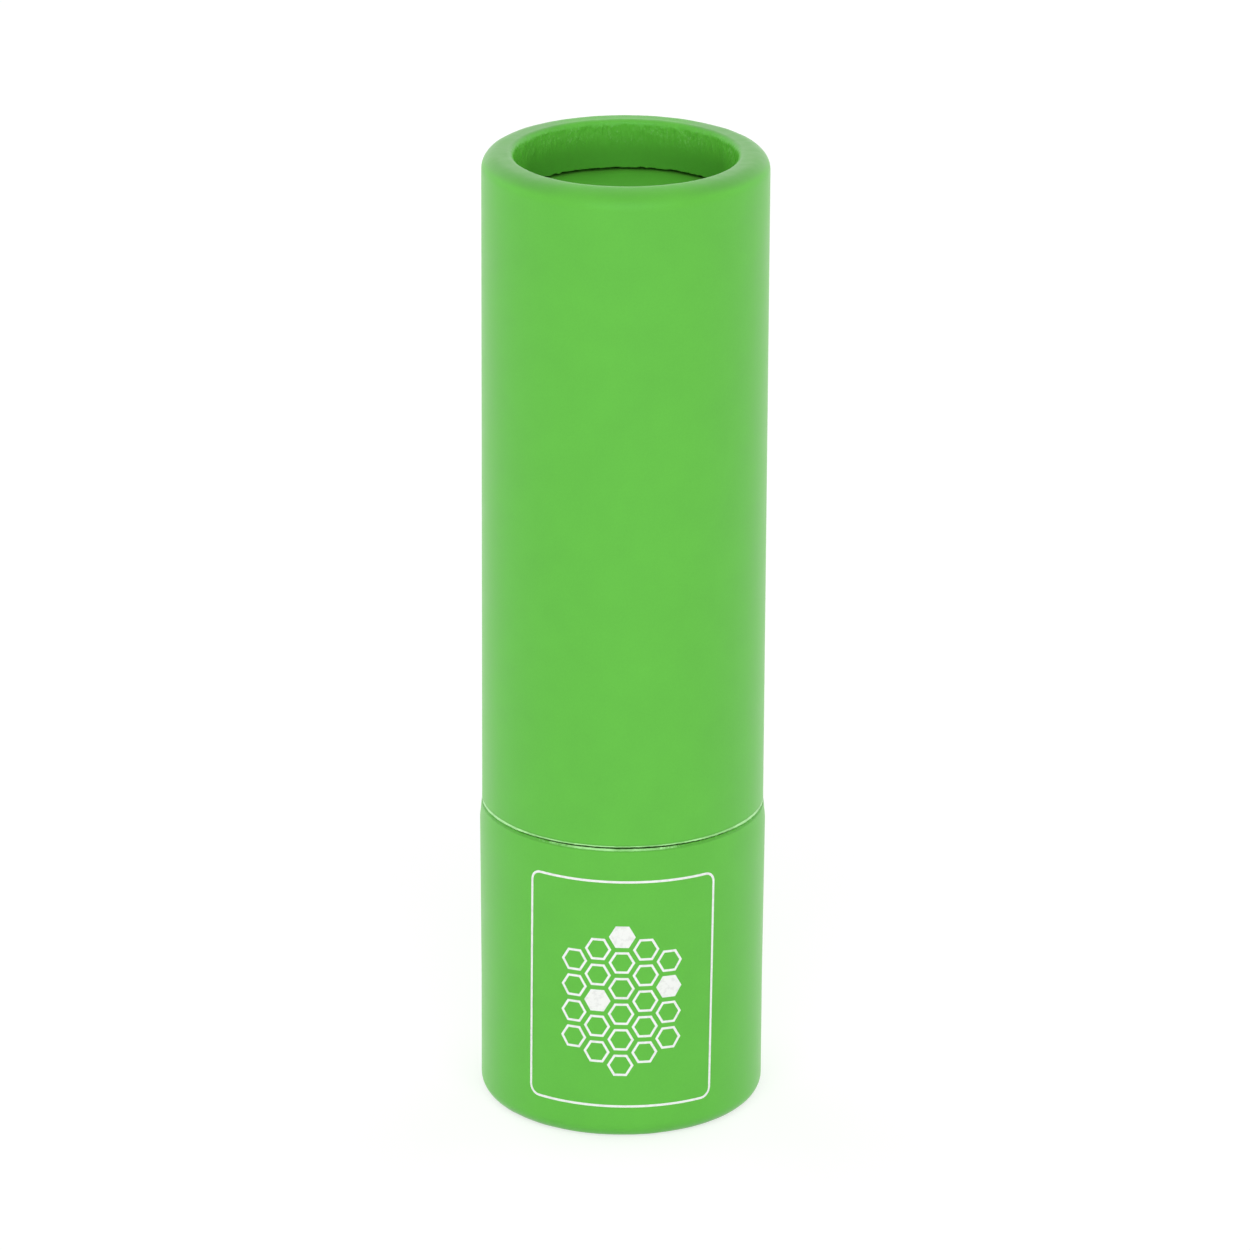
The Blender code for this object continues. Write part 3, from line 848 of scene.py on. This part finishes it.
class STICK_OT_base_paper(StickOperator):
    """The printed paper of the base, folded in over its foot"""

    bl_idname = "stick.base_paper"
    bl_label = "Base Paper"

    def execute(self, context):
        paper = context.scene.stick_paper
        radius = radius_of("base_wrap")
        low, high = heights_of("base_wrap")
        cut = high + paper.edge_reach
        outline = paper_outline(radius, -low, -high, paper.foot_round, paper.foot_land, paper.base_bevel, paper)
        piece = turned("base_paper", flipped(outline), PAPER_STEPS)
        crumple_rim(piece, radius, low, cut, paper)
        sink_edge(piece, cut, paper.sink)
        flare_base(piece, paper)
        tuck_mouth(piece, cut, paper)
        rim = (low, radius - paper.rim_width)
        finish = printed_paper("base printed paper", paper, rim, cut, -1, radius - paper.base_bevel)
        hand_over(piece, finish, "base", "green_paper", "base_wrap")
        return {"FINISHED"}


class STICK_OT_board_tubes(StickOperator):
    """The wound board tubes of the cap and the base, each with a folded end"""

    bl_idname = "stick.board_tubes"
    bl_label = "Board Tubes"

    def execute(self, context):
        paper, board = context.scene.stick_paper, context.scene.stick_board
        seam = (heights_of("base_wrap")[1] + heights_of("cap_wrap")[0]) / 2
        radius = radius_of("cap_wrap")
        edge = radius - paper.thickness - board.bond
        # The board's edge at the seam's front gets the ink's green, darkened as painted shade for the seam's
        # gap.
        finish = raw_board("wound board", board, shaded(paper.green, -0.5), seam, edge)
        low, high = heights_of("cap_wrap")
        outline = board_outline(radius, high, low, paper.top_round, paper.top_land, paper, board)
        hand_over(turned("cap_board", outline), finish, "cap", "grey_board", "cap_board_tube")
        radius = radius_of("base_wrap")
        low, high = heights_of("base_wrap")
        outline = board_outline(radius, -low, -high, paper.foot_round, paper.foot_land, paper, board)
        hand_over(turned("base_board", flipped(outline)), finish, "base", "grey_board", "base_board_tube")
        return {"FINISHED"}


class STICK_OT_linings(StickOperator):
    """The inner paper of the cap and the base"""

    bl_idname = "stick.linings"
    bl_label = "Linings"

    def execute(self, context):
        board = context.scene.stick_board
        finish = plain_paper("lining paper", board.white)
        for name, node, body in (("cap_liner", "cap_lining", "cap"), ("base_liner", "base_lining", "base")):
            radius = radius_of(node)
            outline = tube_outline(radius, radius - board.lining, *heights_of(node), edge=0.02 * MM)
            hand_over(turned(name, outline), finish, body, "white_paper", node)
        return {"FINISHED"}


class STICK_OT_end_discs(StickOperator):
    """The board discs that close both ends, and their printed paper"""

    bl_idname = "stick.end_discs"
    bl_label = "End Discs"

    def execute(self, context):
        finish = raw_board("disc board", context.scene.stick_board)
        for name, node, body in (("cap_end_board", "cap_disc", "cap"), ("base_end_board", "base_disc", "base")):
            outline = disc_outline(radius_of(node), *heights_of(node), edge=0.06 * MM, rings=4)
            hand_over(turned(name, outline), finish, body, "grey_board", node)
        paper = context.scene.stick_paper
        # The disc's paper darkens towards its edge: painted shade.
        finish = printed_paper("disc printed paper", paper, shade_radius=radius_of("cap_disc_facing"))
        for body in ("cap", "base"):
            node = f"{body}_disc_facing"
            outline = disc_outline(radius_of(node), *heights_of(node), edge=0.03 * MM, rings=24)
            piece = turned(f"{body}_end_paper", outline)
            grain = 2.4 * MM
            ruffle(piece, "dimples", lambda r, z: 1, grain, grain, strength=0.12 * MM, direction="Z")
            hand_over(piece, finish, body, "green_paper", node)
        return {"FINISHED"}


class STICK_OT_cap_sleeve(StickOperator):
    """The moulded sleeve inside the cap, with short grip ribs near its mouth"""

    bl_idname = "stick.cap_sleeve"
    bl_label = "Cap Sleeve"

    def execute(self, context):
        mechanism = context.scene.stick_mechanism
        radius = radius_of("cap_sleeve")
        low, high = heights_of("cap_sleeve")
        bore = radius - MOULDED_WALL
        piece = turned("cap_grip_sleeve", tube_outline(radius, bore, low, high, mechanism.edge))
        inner_face = bore_of("cap_sleeve")
        reach = bore + MOULDED_WALL / 2 - inner_face
        inset, width, height = 0.5 * MM, 0.7 * MM, 8.0 * MM
        centre = (inner_face + reach / 2, 0, low + inset + height / 2)
        rib = block("grip_ribs", (reach, width, height), centre, mechanism.edge / 2)
        combine(piece, set_round(rib, 8, HALF_FACET), "UNION")
        finish = moulded_plastic("sleeve plastic", mechanism.white, 0.34, 0.1)
        hand_over(piece, finish, "cap", "white_plastic", "cap_sleeve")
        return {"FINISHED"}


class STICK_OT_base_insert(StickOperator):
    """The moulded cup in the base, with the splined socket that holds the fork"""

    bl_idname = "stick.base_insert"
    bl_label = "Base Insert"

    def execute(self, context):
        mechanism, bond = context.scene.stick_mechanism, context.scene.stick_board.bond
        edge = mechanism.edge
        radius = radius_of("base_insert")
        low, high = heights_of("base_insert")
        bore = radius - MOULDED_WALL
        floor = low + 0.9 * MM
        socket_top = floor + SOCKET_HEIGHT
        socket_bore = mechanism.fork + bond
        notch_end = mechanism.fork + SPLINE_PROUD + bond
        socket_radius = notch_end + 0.6 * MM
        outline = [(0, low)] + soft(radius, low, edge, OUTER_FOOT) + soft(radius, high, edge, OUTER_TOP)
        outline += soft(bore, high, edge, INNER_TOP) + [(bore, floor), (socket_radius, floor)]
        outline += soft(socket_radius, socket_top, edge, OUTER_TOP)
        outline += soft(socket_bore, socket_top, edge, INNER_TOP) + [(socket_bore, floor), (0, floor)]
        piece = turned("base_socket_cup", outline, closed=False)
        reach = SPLINE_PROUD + bond + 0.5 * MM
        size = (reach, SPLINE_WIDTH + 2 * bond, SOCKET_HEIGHT + OVERRUN)
        notch = block("notches", size, (notch_end - reach / 2, 0, floor + size[2] / 2))
        combine(piece, set_round(notch, SPLINES), "DIFFERENCE")
        finish = moulded_plastic("insert plastic", mechanism.white, 0.34, 0.1)
        hand_over(piece, finish, "base", "white_plastic", "base_insert")
        return {"FINISHED"}


class STICK_OT_fork(StickOperator):
    """The slotted tube that keeps the carrier from turning"""

    bl_idname = "stick.fork"
    bl_label = "Fork"

    def execute(self, context):
        mechanism = context.scene.stick_mechanism
        edge, slot = mechanism.edge, mechanism.slot
        low, high = heights_of("fork")
        outer = mechanism.fork
        inner = outer - 0.5 * MM
        flange = radius_of("neck_shell")
        flange_high = heights_of("neck_shell")[0] - RUNNING_GAP
        flange_low = flange_high - 0.6 * MM
        spline_face = outer + SPLINE_PROUD
        collar_low = high - 0.9 * MM
        outline = soft(inner, high, edge, INNER_TOP) + soft(inner, low, edge, INNER_FOOT)
        outline += soft(outer, low, edge, OUTER_FOOT) + [(outer, flange_low)]
        outline += soft(flange, flange_low, edge, OUTER_FOOT) + soft(flange, flange_high, edge, OUTER_TOP)
        outline += [(outer, flange_high), (outer, collar_low)]
        outline += soft(spline_face, collar_low, edge, OUTER_FOOT) + soft(spline_face, high, edge, OUTER_TOP)
        piece = turned("fork_tube", outline)
        travel = mechanism.lead * TWIST / FULL_TURN
        size = (2 * (outer + OVERRUN), slot, travel + slot)
        centre = (0, 0, heights_of("carrier_cup")[0] + size[2] / 2)
        combine(piece, block("slots", size, centre, 0.3 * MM), "DIFFERENCE")
        spline_top = flange_low + 0.3 * MM
        size = (SPLINE_PROUD + 0.25 * MM, SPLINE_WIDTH, spline_top - low)
        spline = block("splines", size, (spline_face - size[0] / 2, 0, (low + spline_top) / 2), edge)
        combine(piece, set_round(spline, SPLINES), "UNION")
        finish = moulded_plastic("fork plastic", mechanism.natural, 0.4, 0.25)
        hand_over(piece, finish, "base", "natural_plastic", "fork")
        return {"FINISHED"}


class STICK_OT_neck(StickOperator):
    """The white shell that carries the cap and turns against the base"""

    bl_idname = "stick.neck"
    bl_label = "Neck"

    def execute(self, context):
        mechanism = context.scene.stick_mechanism
        edge = mechanism.edge
        radius = radius_of("neck_shell")
        low, high = heights_of("neck_shell")
        wall, shoulder = 0.5 * MM, 0.35 * MM
        lip = bore_of("neck_shell")
        lip_low = high - wall
        outline = soft(radius, low, edge, OUTER_FOOT)
        outline += between((radius, low + edge), (radius, high - shoulder), 6)
        outline += soft(radius, high, shoulder, OUTER_TOP, 8) + soft(lip, high, edge, INNER_TOP, 4)
        outline += soft(lip, lip_low, edge, INNER_FOOT) + [(radius - wall, lip_low), (radius - wall, low)]
        finish = moulded_plastic("neck plastic", mechanism.white, 0.32, 0.12)
        hand_over(turned("neck_tube", outline), finish, "neck", "white_plastic", "neck_shell")
        return {"FINISHED"}


class STICK_OT_spiral(StickOperator):
    """The sleeve inside the neck whose two grooves lift the carrier"""

    bl_idname = "stick.spiral"
    bl_label = "Spiral"

    def execute(self, context):
        mechanism = context.scene.stick_mechanism
        radius = radius_of("spiral_sleeve")
        bore = radius - 0.7 * MM
        outline = tube_outline(radius, bore, *heights_of("spiral_sleeve"), mechanism.edge)
        piece = turned("spiral_tube", outline)
        groove_width, groove_depth, groove_steps = 2.2 * MM, 0.45 * MM, 150
        run_on = math.radians(9)
        lug_height = heights_of("carrier_cup")[0] + mechanism.slot / 2
        first = lug_height - mechanism.lead * run_on / FULL_TURN
        for side in range(2):
            bar = added(
                "groove_bar",
                "plane",
                (groove_depth + OVERRUN, groove_width, 1),
                size=1,
                rotation=UPRIGHT,
                location=(bore + (groove_depth - OVERRUN) / 2, 0, first),
            )
            with editing():
                bpy.ops.mesh.delete(type="ONLY_FACE")
            bar.data.transform(Matrix.Rotation(side * FULL_TURN / 2 - run_on, 4, "Z"))
            turn = TWIST + 2 * run_on
            apply_modifier(
                bar,
                "SCREW",
                angle=turn,
                screw_offset=mechanism.lead * turn / FULL_TURN,
                steps=groove_steps,
                render_steps=groove_steps,
                merge_threshold=MERGE_DISTANCE,
            )
            with editing():
                bpy.ops.mesh.select_all(action="SELECT")
                bpy.ops.mesh.fill_holes(sides=8)
            tidy_mesh(bar)
            combine(piece, bar, "DIFFERENCE")
        finish = moulded_plastic("spiral plastic", mechanism.natural, 0.4, 0.25)
        hand_over(piece, finish, "neck", "natural_plastic", "spiral_sleeve")
        return {"FINISHED"}


def rib_blocks(name, bore, bond=0.0, edge=0.0):
    """The four ribs in the carrier's cup, or with a bond the notches that they leave in the balm."""
    inner_face = bore - RIB_PROUD - bond
    size = (bore + CUP_WALL / 2 - inner_face, RIB_WIDTH + 2 * bond, RIB_HEIGHT + bond)
    height = heights_of("carrier_cup")[0] + CUP_FLOOR / 2 + size[2] / 2
    rib = block(name, size, (inner_face + size[0] / 2, 0, height), edge)
    return set_round(rib, 4, FULL_TURN / 8 + HALF_FACET)


class STICK_OT_carrier(StickOperator):
    """The cup that holds the foot of the balm, with its two lugs and four ribs"""

    bl_idname = "stick.carrier"
    bl_label = "Carrier"

    def execute(self, context):
        mechanism = context.scene.stick_mechanism
        edge = mechanism.edge
        low, high = heights_of("carrier_cup")
        reach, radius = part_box("carrier_cup")[1].xy
        bore = radius - CUP_WALL
        floor = low + CUP_FLOOR
        vent = 1.2 * MM
        outline = soft(radius, low, edge, OUTER_FOOT) + soft(radius, high, edge, OUTER_TOP, 3)
        outline += soft(bore, high, edge, INNER_TOP, 3) + [(bore, floor)]
        outline += soft(vent, floor, edge, INNER_TOP) + soft(vent, low, edge, INNER_FOOT)
        piece = turned("balm_carrier", outline)
        inner_end = bore + CUP_WALL / 2
        for side in (1, -1):
            lug = added(
                "lug",
                "cylinder",
                vertices=48,
                radius=mechanism.lug / 2,
                depth=reach - inner_end,
                location=(side * (reach + inner_end) / 2, 0, low + mechanism.slot / 2),
                rotation=(0, FULL_TURN / 4, 0),
            )
            with editing():
                bpy.ops.mesh.select_mode(type="EDGE")
                bpy.ops.mesh.select_all(action="DESELECT")
                bpy.ops.mesh.edges_select_sharp(sharpness=SHARP_ANGLE)
                bpy.ops.mesh.bevel(offset=edge, segments=2, affect="EDGES")
                bpy.ops.mesh.select_mode(type="VERT")
            combine(piece, lug, "UNION")
        combine(piece, rib_blocks("ribs", bore, edge=edge / 2), "UNION")
        finish = moulded_plastic("carrier plastic", mechanism.natural, 0.4, 0.25)
        hand_over(piece, finish, "carrier", "natural_plastic", "carrier_cup")
        return {"FINISHED"}


class STICK_OT_balm(StickOperator):
    """The cast stick of balm, with a soft edge and a low dome"""

    bl_idname = "stick.balm"
    bl_label = "Balm"

    def execute(self, context):
        radius = radius_of("balm")
        low, high = heights_of("balm")
        foot_round, edge_round = 0.2 * MM, 1.2 * MM
        shoulder = high - 2.2 * MM
        points = [(0, low)] + between((0, low), (radius - foot_round, low), 4)
        points += soft(radius, low, foot_round, OUTER_FOOT, 3)
        points += between(points[-1], (radius, shoulder), 12)
        points += corner((radius - edge_round, shoulder), edge_round, 0, 55, 8)
        reach, start = points[-1]
        rings = 10
        for ring in range(1, rings + 1):
            share = ring / rings
            points.append((reach * (1 - share), start + (high - start) * math.sin(share * FULL_TURN / 4)))
        piece = turned("balm_stick", points, closed=False)
        cup_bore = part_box("carrier_cup")[1].y - CUP_WALL
        combine(piece, rib_blocks("rib_notches", cup_bore, context.scene.stick_board.bond), "DIFFERENCE")
        hand_over(piece, wax("cast balm", context.scene.stick_mechanism.balm), "carrier", "balm_wax", "balm")
        return {"FINISHED"}


class STICK_OT_label(StickOperator):
    """The printed line frame on the base and the plain honeycomb in it"""

    bl_idname = "stick.label"
    bl_label = "Label"

    def execute(self, context):
        label = context.scene.stick_label
        finish = ink("white ink", label.ink)
        for piece in (self.frame_line(label), self.honeycomb(label)):
            self.lay_on_paper(piece, label, context.scene.stick_paper)
            hand_over(piece, finish, "base", None)
        return {"FINISHED"}

    def frame_line(self, label):
        size = (label.width + label.line, label.top - label.bottom + label.line, 1)
        middle = (0, 0, (label.top + label.bottom) / 2)
        piece = added("label_frame", "plane", size, size=1, rotation=UPRIGHT, location=middle)
        with editing():
            bpy.ops.mesh.bevel(offset=label.corner, segments=8, affect="VERTICES")
            self.keep_rim(label)
        return piece

    def keep_rim(self, label):
        """Leaves a line of the selected face, along its edge."""
        bpy.ops.mesh.inset(thickness=label.line)
        bpy.ops.mesh.delete(type="FACE")

    def honeycomb(self, label):
        """A loose group of six-sided cells in staggered columns, most of them lines and a few filled."""
        cells = []
        across = label.cell * math.sqrt(3) / 2
        cell_radius = label.cell * 0.48
        for column in range(label.columns):
            offset = column - (label.columns - 1) / 2
            rows = label.rows - round(abs(offset))
            for row in range(rows):
                height = label.comb_height + (row - (rows - 1) / 2) * label.cell
                cell = added(
                    "cell",
                    "circle",
                    vertices=6,
                    radius=cell_radius,
                    fill_type="NGON",
                    rotation=(FULL_TURN / 4, FULL_TURN / 12, 0),
                    location=(offset * across, 0, height),
                )
                filled = (column * 3 + row * 5) % 9 == 4
                if not filled:
                    with editing():
                        self.keep_rim(label)
                cells.append(cell)
        comb = joined(cells)
        comb.name = "label_honeycomb"
        comb.data.name = "label_honeycomb"
        return comb

    def lay_on_paper(self, piece, label, paper):
        """Cuts the flat print into narrow strips, bends it round the base and gives it its thickness."""
        middle = Matrix.Translation((0, 0, (label.top + label.bottom) / 2))
        piece.data.transform(middle @ Matrix.Rotation(label.lean, 4, "Y") @ middle.inverted())
        sides = [vertex.co.x for vertex in piece.data.vertices]
        left, width = min(sides), max(sides) - min(sides)
        select_only(piece)
        strips = 40
        with editing():
            for strip in range(1, strips):
                bpy.ops.mesh.select_all(action="SELECT")
                bpy.ops.mesh.bisect(plane_co=(left + width * strip / strips, 0, 0), plane_no=(1, 0, 0))
        sunk = 0.004 * MM
        radius = radius_of("base_wrap") - sunk
        apply_modifier(piece, "SIMPLE_DEFORM", deform_method="BEND", deform_axis="Z", angle=width / radius)
        piece.data.transform(Matrix.Rotation(label.turn, 4, "Z") @ Matrix.Translation((0, -radius, 0)))
        apply_modifier(piece, "SOLIDIFY", thickness=label.ink_height + sunk, offset=1)
        flare_base(piece, paper)


class STICK_OT_stage(StickOperator):
    """The floor, the white surroundings, the soft lamps and the camera"""

    bl_idname = "stick.stage"
    bl_label = "Stage"

    def execute(self, context):
        stage = context.scene.stick_stage
        self.floor(stage)
        self.surroundings(stage)
        self.lamps(stage)
        self.camera(stage)
        return {"FINISHED"}

    def floor(self, stage):
        """A pale floor that shows the stick's shadow, and that the camera and glossy pieces see as white."""
        floor = added("floor", "circle", vertices=96, radius=stage.floor_size / 2, fill_type="NGON")
        finish = Finish("pale floor", Roughness=0.9)
        specks = finish.noise(finish.place()[0], 4, 4.0)
        base = finish.blend(specks, shaded(stage.floor, -0.01), shaded(stage.floor, 0.01))
        finish.fill(finish.shader, {"Base Color": base})
        white = finish.rays().math("MINIMUM", 1.0)
        glow = finish.node("ShaderNodeEmission", None, {"Color": (1, 1, 1, 1), "Strength": 0.68})
        dim = finish.node("ShaderNodeBsdfDiffuse", None, {"Color": (0.42, 0.42, 0.42, 1)})
        lit = finish.node("ShaderNodeAddShader", None, (glow, dim))
        shader = Socket(finish, finish.shader.outputs[0])
        mixed = finish.node("ShaderNodeMixShader", None, (white, shader, lit))
        finish.fill(finish.tree.nodes["Material Output"], {"Surface": mixed})
        floor.data.materials.append(finish.material)

    def surroundings(self, stage):
        """White to the camera and to glossy and clear pieces, and a dim even light to all else."""
        world = bpy.data.worlds.new("white surroundings")
        world.use_nodes = True
        bpy.context.scene.world = world
        nodes = Nodes(world.node_tree)
        strength = nodes.node("ShaderNodeMapRange", None, {"Value": nodes.rays(), "To Min": stage.sky})
        nodes.fill(nodes.tree.nodes["Background"], {"Color": (1, 1, 1, 1), "Strength": strength})

    def lamps(self, stage):
        """Large soft lamps: one high in front, and one low behind each side of the stick."""
        target = Vector((0, 0, 35 * MM))
        for name, turn_deg, rise_deg, distance, width, height, share in (
            ("high lamp", 0, 34, 1.3, 1.3, 1.3, 1.0),
            ("left lamp", -128, 13, 1.4, 2.0, 1.2, 1.25),
            ("right lamp", 128, 13, 1.4, 2.0, 1.2, 1.13),
        ):
            turn, rise = math.radians(turn_deg), math.radians(rise_deg)
            aim = Vector((math.sin(turn) * math.cos(rise), -math.cos(turn) * math.cos(rise), math.sin(rise)))
            bpy.ops.object.light_add(type="AREA", location=target + aim * distance)
            lamp = bpy.context.object
            lamp.name = name
            lamp.data.shape = "RECTANGLE"
            lamp.data.size = width
            lamp.data.size_y = height
            lamp.data.energy = stage.lamp * share
            lamp.rotation_euler = aim.to_track_quat("Z", "Y").to_euler()
            lamp.visible_glossy = False

    def camera(self, stage):
        bpy.ops.object.camera_add(location=(0, -stage.camera_distance, stage.camera_height))
        camera = bpy.context.object
        camera.name = "camera"
        look = Matrix.Rotation(-stage.pan, 4, "Z") @ Matrix.Rotation(FULL_TURN / 4 - stage.tilt, 4, "X")
        camera.rotation_euler = (look @ Matrix.Rotation(stage.roll, 4, "Z")).to_euler()
        camera.data.lens = stage.lens
        camera.data.sensor_width = 36
        bpy.context.scene.camera = camera
        bpy.context.scene.view_settings.view_transform = "Standard"


class VIEW3D_PT_stick(bpy.types.Panel):
    """Lists the pieces of the stick and the stage"""

    bl_label = "Lip Balm Stick"
    bl_space_type = "VIEW_3D"
    bl_region_type = "UI"
    bl_category = "Lip Balm"

    def draw(self, context):
        for operator in OPERATORS:
            self.layout.operator(operator.bl_idname)


SETTINGS = {
    "stick_paper": PaperSettings,
    "stick_board": BoardSettings,
    "stick_label": LabelSettings,
    "stick_mechanism": MechanismSettings,
    "stick_stage": StageSettings,
}
OPERATORS = (
    STICK_OT_stage,
    STICK_OT_cap_paper,
    STICK_OT_base_paper,
    STICK_OT_label,
    STICK_OT_board_tubes,
    STICK_OT_linings,
    STICK_OT_end_discs,
    STICK_OT_neck,
    STICK_OT_balm,
    STICK_OT_carrier,
    STICK_OT_cap_sleeve,
    STICK_OT_base_insert,
    STICK_OT_fork,
    STICK_OT_spiral,
)


def register():
    for name, group in SETTINGS.items():
        bpy.utils.register_class(group)
        setattr(bpy.types.Scene, name, PointerProperty(type=group))
    for made in (*OPERATORS, VIEW3D_PT_stick):
        bpy.utils.register_class(made)


def unregister():
    for made in (VIEW3D_PT_stick, *reversed(OPERATORS)):
        bpy.utils.unregister_class(made)
    for name, group in SETTINGS.items():
        delattr(bpy.types.Scene, name)
        bpy.utils.unregister_class(group)


def main():
    register()
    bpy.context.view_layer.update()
    for operator in OPERATORS:
        group, name = operator.bl_idname.split(".")
        getattr(getattr(bpy.ops, group), name)()


if __name__ == "__main__":
    main()
